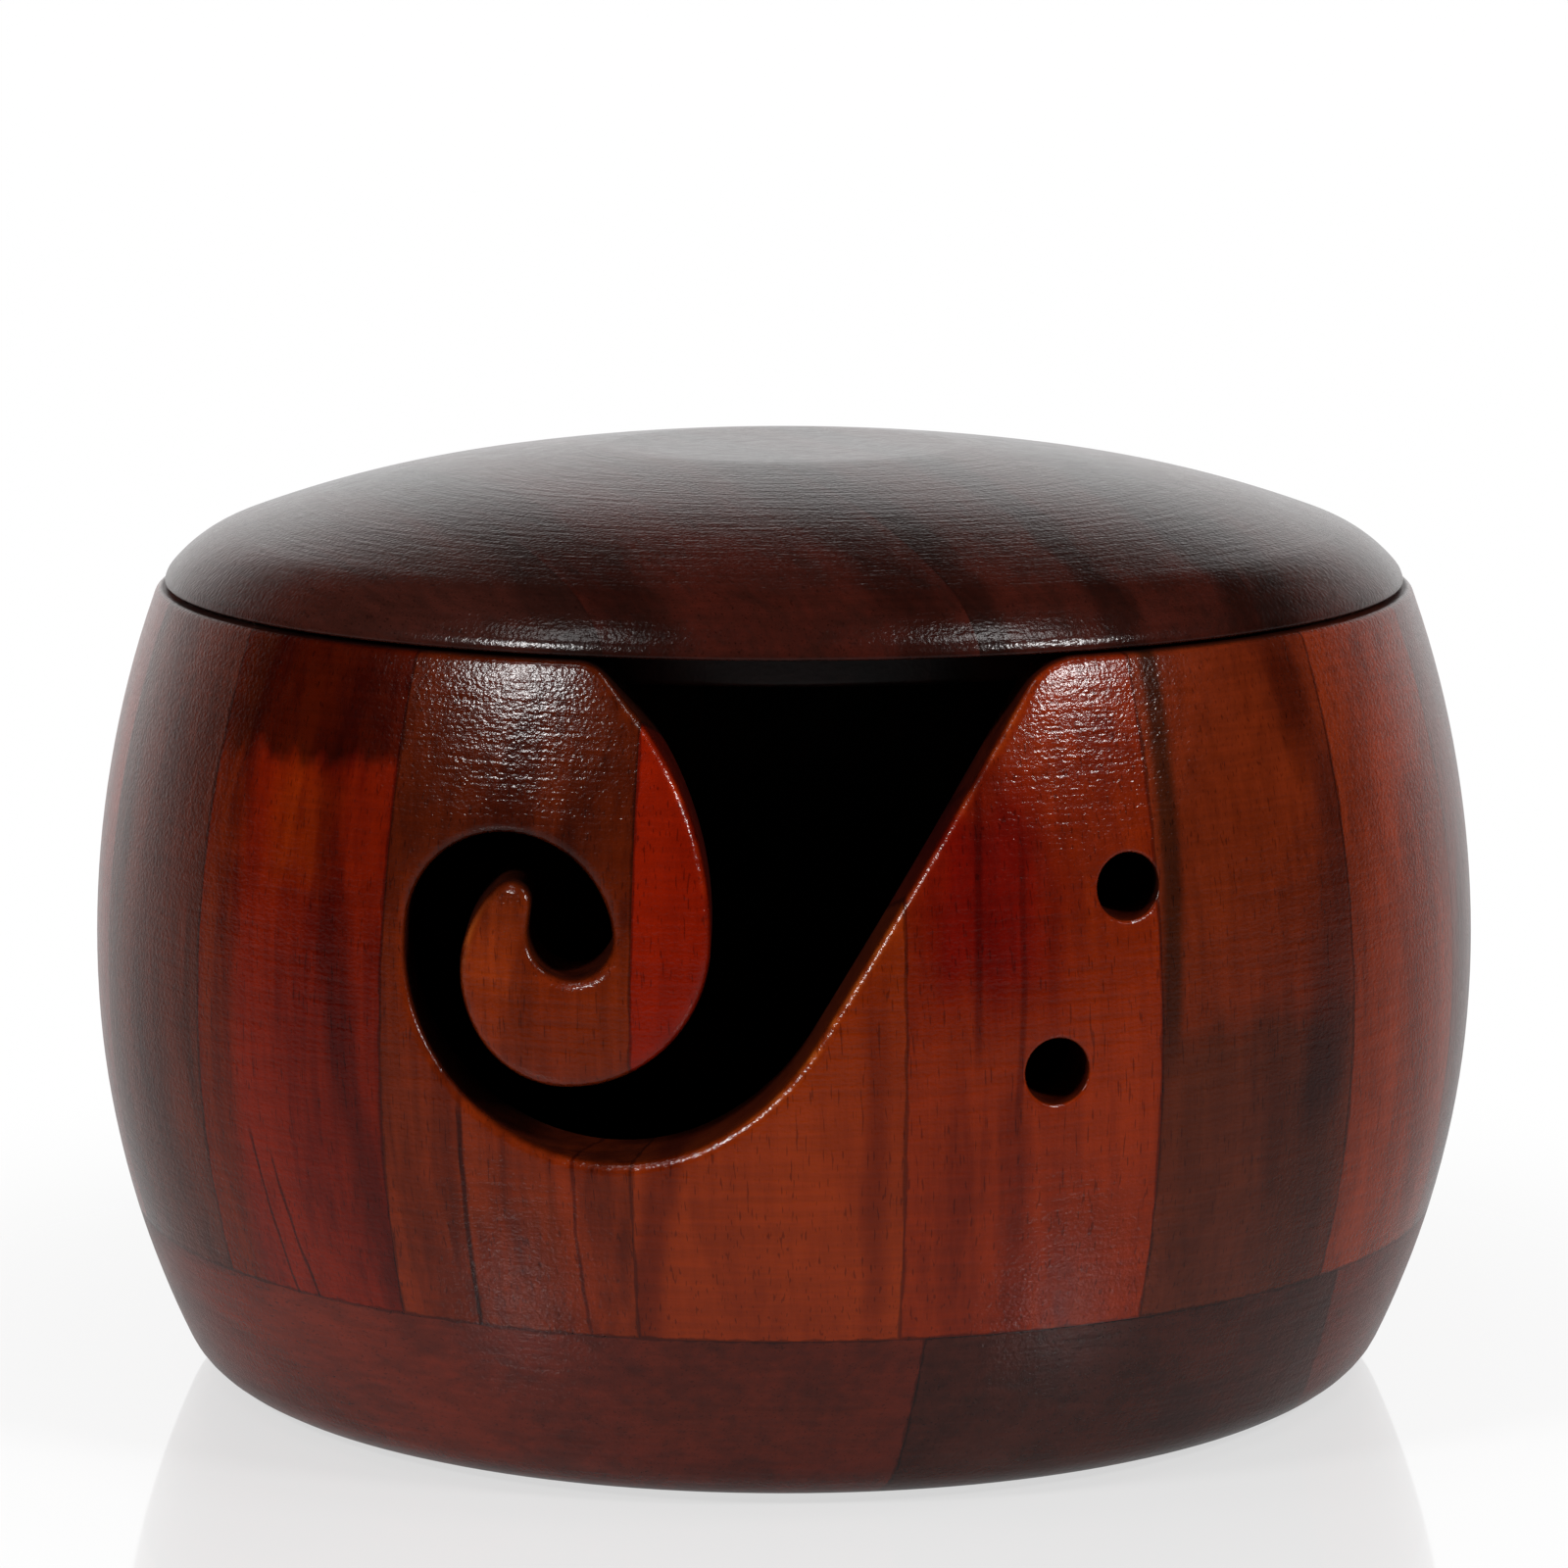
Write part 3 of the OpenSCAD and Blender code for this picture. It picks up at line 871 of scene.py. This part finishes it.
# Painted shade: cut faces, the lid's underside and the hollow are darkened by depth, standing in for the
# shade inside the notch, under the lid and in the bowl
tone = blend(tree, "MULTIPLY", ramp(tree, depth, 0.3, 0.9), given["Color"], given["Cut face painted shade"])
tone = blend(tree, "MULTIPLY", ramp(tree, depth, 1.1, 1.9), tone, given["Hollow painted shade"])
rubbed = ramp(tree, stretched(tree, given["Place"], (2.4, 2.4, 2.4), 8.0, 4.0), 0.38, 0.62)
rubbed = times(tree, sums(tree, "POWER", wear, 4.0), rubbed)
rubbed = times(tree, rubbed, ramp(tree, depth, 1.4, 0.9))
give(tree, result, {"Color": blend(tree, "MULTIPLY", rubbed, tone, given["Wear tint"]),
                    "Dullness": ramp(tree, depth, 0.6, 1.1)})

# %% [markdown]
# ### Varnish
#
# The varnish is sprayed on thinly and dries with a skin like orange peel, a
# little wider than high because the grain and the lathe's fine rings hold it
# up. This skin breaks a reflection into specks. The rings left by the turning
# tool show as faint level lines.

# %% Varnish
varnish, given, result = new_group(
    "sprayed varnish",
    {"Place": ("Vector", None), "Along the lathe": ("Float", 0.0), "Dullness": ("Float", 0.0),
     "Peel": ("Float", 1.0), "Sheen": ("Float", 0.26)},
    {"Roughness": "Float", "Height": "Float", "Marks": "Float"})
tree = varnish
peel = stretched(tree, given["Place"], (0.5, 0.5, 0.4), 1.0, 2.0)
swell = stretched(tree, given["Place"], (2.6, 2.6, 2.0), 2.0, 1.0)
slow = vectors(tree, "MULTIPLY", given["Place"], (0.12, 0.12, 0.12))
turns = add(tree, "ShaderNodeTexNoise", {"Vector": slow, "Scale": 1.0, "Detail": 3.0,
                                         "W": times(tree, given["Along the lathe"], 1.5)},
            noise_dimensions="4D").outputs[0]
height = plus(tree, times(tree, peel, times(tree, given["Peel"], 0.075)),
              times(tree, swell, 0.02))
height = plus(tree, height, times(tree, turns, 0.07))
patchy = times(tree, minus(tree, swell, 0.5), 0.08)
dulled = plus(tree, given["Sheen"], times(tree, given["Dullness"], 0.22))
give(tree, result, {"Height": height, "Marks": turns, "Roughness": plus(tree, dulled, patchy)})
print("groups", len(bpy.data.node_groups))

# %% [markdown]
# ## A material for each piece
#
# The colours below are the stain as it looks in even light, but for two smears
# of painted shade on the tops of the first two staves at the left. The front
# staves and the lid have been matched to what can be seen of them. The staves
# at the back can't be seen, so they take turns with the same two stains.

# %% Wire a piece's material
MM_PER_DEGREE = 1.35


def new_material(name):
    """Empty node material with a name."""
    material = bpy.data.materials.new(name)
    material.use_nodes = True
    material.node_tree.nodes.clear()
    return material, material.node_tree


def bare_wood(tree, place, lean, look):
    """Colour of stained wood with the grain, stain and shares of a look."""
    found = use(tree, grain, {"Place": place, "Seed": look["seed"], "Ring width": look["rings"],
                              "Heart": look["heart"], "Wander": look["wander"], "Lean": lean})
    return use(tree, stained, {
        "Light": stain(*look["light"]), "Dark": stain(*look["dark"]), "Rings": found["Rings"],
        "Streaks": found["Streaks"], "Fibres": found["Fibres"], "Pores": found["Pores"],
        "Ring share": look["ring_share"], "Streak share": look["streak_share"]})["Color"]


def smeared(tree, tone, at, aside, look):
    """Colour after a look's smears: place, lean, half width, bottom, top, ragged, fade and tint."""
    for place, lean, half_width, bottom, top, ragged, fade, tint in look["smears"]:
        tone = use(tree, smear, {
            "Color": tone, "Place": at["Place"], "Offset": aside, "Height": at["Height"], "At": place,
            "Lean": lean, "Half width": half_width, "Bottom": bottom, "Top": top, "Ragged": ragged,
            "Fade": fade, "Tint": (*tint, 1.0)})["Color"]
    return tone


def finish_wood(tree, tone, at, to_joint, lathe, look):
    """Principled surface of a colour, with glue lines, wear, painted shade on cut faces and in the hollow,
    and the varnish's skin.
    """
    tone = use(tree, glue, {"Color": tone, "Place": at["Place"], "Away": to_joint,
                            "Strength": look["glue"]})["Color"]
    # worn holds the colour with its wear and with painted shade on cut faces and in the hollow
    worn = use(tree, wear_and_painted_shade, {"Color": tone, "Place": at["Place"]})
    skin = use(tree, varnish, {"Place": at["Place"], "Along the lathe": lathe, "Dullness": worn["Dullness"],
                               "Sheen": look["sheen"], "Peel": look["peel"]})
    lines = ramp(tree, skin["Marks"], 0.35, 0.65, 0.92, 1.08)
    grey = add(tree, "ShaderNodeCombineColor", {0: lines, 1: lines, 2: lines}).outputs[0]
    tone = blend(tree, "MULTIPLY", 1.0, worn["Color"], grey)
    bump = add(tree, "ShaderNodeBump", {"Height": skin["Height"], "Distance": MM, "Strength": 1.0})
    surface = add(tree, "ShaderNodeBsdfPrincipled", {
        "Base Color": tone, "Roughness": skin["Roughness"], "Normal": bump.outputs[0], "IOR": look["ior"]})
    add(tree, "ShaderNodeOutputMaterial", {"Surface": surface.outputs[0]})


def stave_material(name, middle, half, look):
    """Material of a stave from its middle bearing, its half width in degrees and its look."""
    material, tree = new_material(name)
    at = use(tree, place_in_stave, {"Middle": middle})
    tone = bare_wood(tree, at["Place"], look["lean"], look)
    tone = smeared(tree, tone, at, at["Offset"], look)
    side = times(tree, minus(tree, half, sums(tree, "ABSOLUTE", at["Offset"])), MM_PER_DEGREE)
    foot = sums(tree, "ABSOLUTE", minus(tree, at["Height"], BASE_H))
    finish_wood(tree, tone, at, sums(tree, "MINIMUM", side, foot), at["Height"], look)
    return material


def board_material(name, along, low, high, look):
    """Material of a flat board from its grain's direction, its two joints across it and its look."""
    material, tree = new_material(name)
    at = use(tree, place_in_board, {"Grain": along})
    tone = bare_wood(tree, at["Place"], 0.0, look)
    ends = ramp(tree, at["End grain"], 0.35, 1.0, 0.0, look["end_share"])
    tone = blend(tree, "MULTIPLY", ends, tone, (0.42, 0.5, 0.6, 1))
    tone = smeared(tree, tone, at, at["Across"], look)
    side = sums(tree, "MINIMUM", minus(tree, at["Across"], low), minus(tree, high, at["Across"]))
    if look["seam"]:
        side = sums(tree, "MINIMUM", side, sums(tree, "ABSOLUTE", minus(tree, at["Height"], BASE_H)))
    finish_wood(tree, tone, at, side, at["Height"] if look["seam"] else at["Radius"], look)
    return material

# %% Looks of the staves
RED = {"light": (116, 32, 3), "dark": (80, 15, 1), "seed": 1.0, "rings": 7.0, "heart": (25.0, -120.0, 0.0),
       "wander": 16.0, "lean": 0.03, "ring_share": 0.25, "streak_share": 0.7, "glue": 0.6, "sheen": 0.17,
       "peel": 1.0, "ior": 1.33, "smears": []}
BROWN = {**RED, "light": (92, 27, 9), "dark": (60, 16, 7)}
# A smear is (place, lean, half width, bottom, top, ragged, fade, tint), in degrees from the stave's
# middle or mm across a board, and in mm of height
LOOKS = {
    "stave_front": {**RED, "light": (120, 38, 4), "dark": (94, 25, 3), "seed": 3.1, "wander": 8.0,
                    "streak_share": 0.5, "smears": [
                        (-6.6, 0.115, 1.3, 0, 60, 1.5, 10, (0.6, 0.5, 0.5)),
                        (8.1, 0.0, 1.0, 20, 60, 1.0, 10, (0.7, 0.6, 0.6))]},
    "stave_front_lobe": {**RED, "light": (114, 18, 0), "dark": (84, 7, 0), "seed": 5.3,
                         "streak_share": 0.4},
    "stave_left_01": {**RED, "light": (108, 33, 4), "dark": (66, 15, 2), "seed": 7.7, "rings": 5.0,
                      "smears": [
        (-3.6, -0.02, 0.22, 16, 44, 0.8, 4, (0.25, 0.2, 0.2)),
        (5.0, -0.04, 1.6, 18, 42, 1.0, 8, (1.25, 1.2, 1.1)),
        (5.2, -0.04, 0.16, 18, 42, 1.2, 8, (0.45, 0.35, 0.35)),
        (4.4, -0.03, 1.2, 46, 84, 1.6, 8, (1.3, 1.3, 1.2)),
        # painted shade: darkens the whole top of this stave above 66 mm
        (0.0, 0.0, 14.0, 66, 120, 2.0, 14, (0.38, 0.42, 0.6)),
        (-0.3, 0.0, 3.6, 57, 69, 0.5, 3, (1.35, 1.5, 1.6))]},
    "stave_left_02": {**RED, "light": (106, 20, 0), "dark": (70, 5, 0), "seed": 9.2, "smears": [
        (-8.3, 0.0, 2.9, 0, 100, 0.4, 8, (0.72, 1.3, 2.2)),
        # painted shade: darkens the whole top of this stave above 79 mm
        (2.0, 0.0, 14.0, 79, 120, 0.0, 3, (0.28, 0.4, 0.7)),
        (1.5, 0.0, 3.5, 66, 78, 2.0, 6, (1.15, 1.9, 2.0)),
        (6.8, -0.113, 1.6, 18, 82, 2.2, 8, (0.55, 0.45, 0.45)),
        (-4.2, -0.18, 0.16, 16, 36, 1.0, 4, (0.35, 0.3, 0.3)),
        (-6.0, -0.16, 0.16, 16, 38, 1.0, 4, (0.35, 0.3, 0.3))]},
    "stave_left_03": {**BROWN, "light": (78, 30, 17), "dark": (50, 18, 10), "seed": 11.8},
    "stave_right_01": {**RED, "light": (118, 33, 3), "dark": (84, 17, 2), "seed": 13.4, "smears": [
        (-2.5, -0.055, 1.3, 0, 46, 1.6, 8, (0.65, 0.55, 0.55)),
        (-4.0, 0.0, 6.0, 56, 78, 3.0, 12, (0.66, 0.16, 0.2)),
        (-5.0, 0.02, 0.35, 50, 80, 1.0, 8, (0.6, 0.5, 0.5)),
        (-1.5, 0.02, 0.3, 45, 72, 1.0, 8, (0.6, 0.5, 0.5))]},
    "stave_right_02": {**RED, "light": (99, 32, 9), "dark": (74, 21, 5), "seed": 15.9, "rings": 9.0,
                       "smears": [
        (-9.5, 0.03, 1.0, 50, 120, 0.5, 10, (0.3, 0.45, 0.6)),
        (0.0, 0.0, 14.0, -10, 52, 4.0, 6, (0.55, 0.8, 1.3)),
        (7.5, 0.1, 2.8, 40, 80, 2.0, 8, (0.5, 0.55, 1.0)),
        (6.0, 0.0, 4.6, 10, 46, 1.0, 8, (0.75, 0.75, 0.8)),
        (6.8, 0.0, 2.4, 80, 91, 2.5, 6, (0.5, 0.45, 0.45))]},
    "stave_right_03": {**RED, "light": (116, 38, 10), "dark": (84, 25, 7), "seed": 17.3},
}

# %% Give the staves their materials
for place in PLACES:
    half = (joint_bearing(place + 0.5) - joint_bearing(place - 0.5)) / 2
    middle = joint_bearing(place - 0.5) + half
    for name in [stave_name(place)] + ["stave_front_lobe"] * (place == 0):
        start = RED if slots[name] == "stave_red" else BROWN
        unseen = {**start, "seed": 20.0 + 2.3 * place, "heart": (15.0 - 6 * place, -110.0, 0.0)}
        look = LOOKS.get(name, unseen)
        pieces[name].data.materials.append(stave_material(name + "_stained", middle, half, look))
print("stave materials", len(bpy.data.materials))

# %% Looks of the boards
def smoke(place, half_width):
    """Faint dark smear that runs right along a board of the lid."""
    return place, 0.0, half_width, -50.0, 200.0, 5.0, 6.0, (0.5, 0.58, 0.6)


BASE = {"light": (92, 28, 13), "dark": (58, 18, 10), "rings": 3.4, "heart": (10.0, 90.0, 0.0),
        "wander": 8.0, "ring_share": 0.15, "streak_share": 0.7, "end_share": 0.7, "glue": 0.6,
        "sheen": 0.24, "peel": 0.8, "ior": 1.33, "seam": True, "smears": []}
LID = {**BASE, "light": (54, 22, 16), "dark": (30, 13, 9), "heart": (10.0, 30.0, 0.0), "rings": 6.0,
       "ring_share": 0.1, "end_share": 0.2, "streak_share": 0.6, "glue": 0.2, "sheen": 0.18, "ior": 1.3,
       "seam": False}
BASE_LOOKS = [
    {**BASE, "light": (100, 30, 14), "dark": (66, 20, 11), "seed": 31.0},
    {**BASE, "light": (66, 24, 14), "dark": (42, 15, 10), "seed": 33.0, "end_share": 0.4},
    {**BASE, "light": (108, 32, 14), "dark": (72, 20, 9), "seed": 35.0},
]
LID_LOOKS = [
    {**LID, "seed": 41.0, "smears": [smoke(-46.0, 4.5)]},
    {**LID, "light": (58, 19, 12), "seed": 43.0, "smears": [smoke(-42.0, 4.0), smoke(-14.0, 4.0)]},
    {**LID, "light": (56, 19, 12), "seed": 45.0, "smears": [smoke(-8.0, 3.0), smoke(8.0, 2.6),
                                                            smoke(25.0, 3.4)]},
    {**LID, "seed": 47.0, "smears": [smoke(30.0, 4.0)]},
]

# %% Give the boards their materials
for kind, along, joints, looks in (("base", BASE_GRAIN, base_joints, BASE_LOOKS),
                                   ("lid", LID_GRAIN, lid_joints, LID_LOOKS)):
    for i, look in enumerate(looks):
        name = f"{kind}_board_{i + 1:02d}"
        material = board_material(name + "_stained", along, *joints[i], look)
        pieces[name].data.materials.append(material)
print("materials", len(bpy.data.materials))

# %% [markdown]
# ## The studio
#
# The photograph is a studio shot on a glossy white table. The camera was found
# by fitting the outline, the seam and the rim. Two soft boxes at the front left
# and front right make the two broad highlights near the rim, two weaker ones
# above light the dome, and the room on the camera's side is dark. A white
# backdrop stands behind, which the sides and the flat top of the lid mirror at
# a low angle.

# %% Camera
CAMERA_AWAY, CAMERA_HEIGHT, LOOKS_DOWN = 0.6458, 0.1735, 10.69

camera = bpy.data.objects.new("camera", bpy.data.cameras.new("camera"))
bpy.context.scene.collection.objects.link(camera)
camera.location = (0, -CAMERA_AWAY, CAMERA_HEIGHT)
camera.rotation_euler = (math.radians(90 - LOOKS_DOWN), 0, 0)
camera.data.sensor_width, camera.data.lens, camera.data.shift_y = 36, 128.7, 0.0814
bpy.context.scene.camera = camera


# %% Soft boxes
BOWL_MIDDLE = Vector((0, 0, 0.06))


def soft_box(name, direction, distance, width, height, power):
    """Rectangular area light in a direction from the bowl's middle, facing it."""
    data = bpy.data.lights.new(name, "AREA")
    data.shape, data.size, data.size_y, data.energy = "RECTANGLE", width, height, power
    light = bpy.data.objects.new(name, data)
    bpy.context.scene.collection.objects.link(light)
    way = Vector(direction).normalized()
    light.location = way * distance + BOWL_MIDDLE
    light.rotation_euler = way.to_track_quat("Z", "Y").to_euler()


soft_box("soft box left", (-0.73, -0.63, 0.62), 1.0, 0.16, 0.11, 5.2)
soft_box("soft box right", (0.76, -0.58, 0.63), 1.0, 0.16, 0.11, 5.4)
soft_box("soft box above left", (-0.42, -0.2, 0.88), 1.2, 0.2, 0.2, 1.1)
soft_box("soft box above right", (0.42, -0.2, 0.88), 1.2, 0.2, 0.2, 1.9)

# %% Room
world = bpy.data.worlds.new("studio")
bpy.context.scene.world = world
world.use_nodes = True
tree = world.node_tree
tree.nodes.clear()
way = add(tree, "ShaderNodeTexCoord").outputs["Generated"]
part = add(tree, "ShaderNodeSeparateXYZ", {0: way}).outputs
backdrop = ramp(tree, part["Y"], 0.25, 0.96)
low = ramp(tree, part["Z"], 0.6, 0.27)
path = add(tree, "ShaderNodeLightPath").outputs
around = ramp(tree, part["Y"], -0.3, 0.7, 0.22, 0.6)
level = plus(tree, times(tree, path["Is Glossy Ray"], times(tree, backdrop, low)),
             times(tree, minus(tree, 1.0, path["Is Glossy Ray"]), around))
level = sums(tree, "MAXIMUM", level, path["Is Camera Ray"])
background = add(tree, "ShaderNodeBackground", {"Color": (1, 1, 1, 1), "Strength": level}).outputs[0]
add(tree, "ShaderNodeOutputWorld", {"Surface": background})

# %% Table
TABLE_W, TABLE_GAP = 24, 0.0004
bpy.ops.mesh.primitive_plane_add(size=TABLE_W, location=(0, 0, -TABLE_GAP))
table = bpy.context.object
table.name = "white table"
material, tree = new_material("white_gloss_table")
path = add(tree, "ShaderNodeLightPath").outputs
seen = sums(tree, "MAXIMUM", path["Is Camera Ray"], path["Is Glossy Ray"])
lit = add(tree, "ShaderNodeBsdfDiffuse", {"Color": (0.8, 0.8, 0.8, 1)}).outputs[0]
dimmed = minus(tree, 1.0, times(tree, path["Is Glossy Ray"], 0.6))
glow = add(tree, "ShaderNodeEmission", {"Color": (1, 1, 1, 1), "Strength": dimmed}).outputs[0]
spot = add(tree, "ShaderNodeTexCoord").outputs["Object"]
away = add(tree, "ShaderNodeVectorMath", {0: spot}, operation="LENGTH").outputs["Value"]
share = times(tree, seen, ramp(tree, away, 0.08, 0.17, 0.8, 1.0))
body = add(tree, "ShaderNodeMixShader", {0: share, 1: lit, 2: glow}).outputs[0]
gloss = add(tree, "ShaderNodeBsdfGlossy", {"Color": (1, 1, 1, 1), "Roughness": 0.05}).outputs[0]
edge_on = add(tree, "ShaderNodeFresnel", {"IOR": 1.4}).outputs[0]
top = add(tree, "ShaderNodeMixShader", {0: edge_on, 1: body, 2: gloss}).outputs[0]
add(tree, "ShaderNodeOutputMaterial", {"Surface": top})
table.data.materials.append(material)

# %% Colour view
bpy.context.scene.view_settings.view_transform = "Standard"
